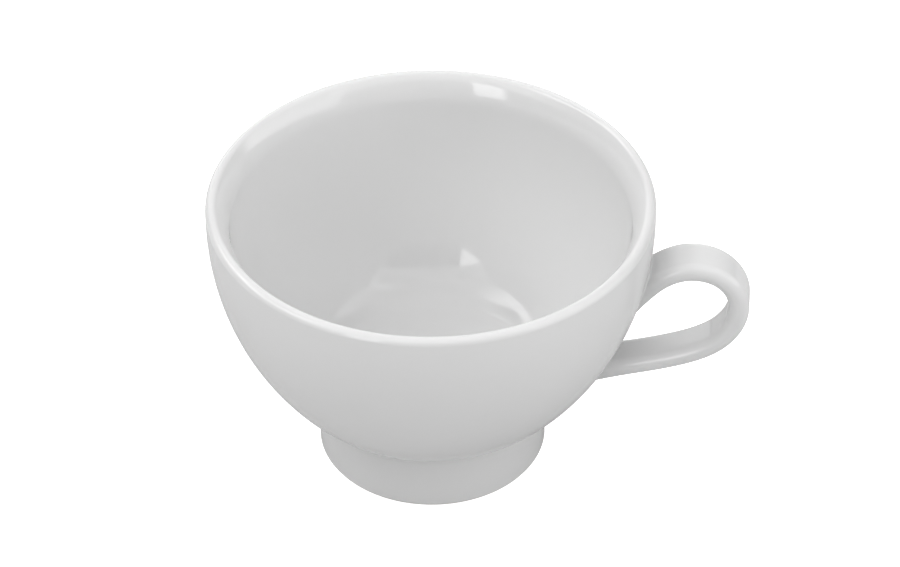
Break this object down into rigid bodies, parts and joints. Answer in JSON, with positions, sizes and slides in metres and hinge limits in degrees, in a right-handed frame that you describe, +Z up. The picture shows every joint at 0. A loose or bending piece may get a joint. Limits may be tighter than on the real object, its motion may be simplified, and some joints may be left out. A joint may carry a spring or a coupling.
{
  "type": "cup",
  "caption": "Glazed porcelain coffee cup with a round bowl, a low pedestal foot and a looped strap handle",
  "frame": {"origin": "Middle of the foot, on the cup's axis, on the plane that the foot stands on", "axes": "+Z is up along the bowl's axis, and +X points from the axis to the handle"},
  "size_m": [0.1218, 0.1, 0.0685],
  "materials": {
    "porcelain_body": "bare fired porcelain, fine and matt",
    "joining_slip": "fired slip, matt",
    "glaze": "clear gloss glaze over white porcelain"
  },
  "bodies": {
    "root": {"bowl": "porcelain_body", "foot": "porcelain_body", "handle": "porcelain_body", "foot_slip_joint": "joining_slip", "upper_slip_joint": "joining_slip", "lower_slip_joint": "joining_slip", "inside_glaze": "glaze", "outside_glaze": "glaze", "foot_glaze": "glaze", "recess_glaze": "glaze", "handle_glaze": "glaze"}
  },
  "joints": []
}
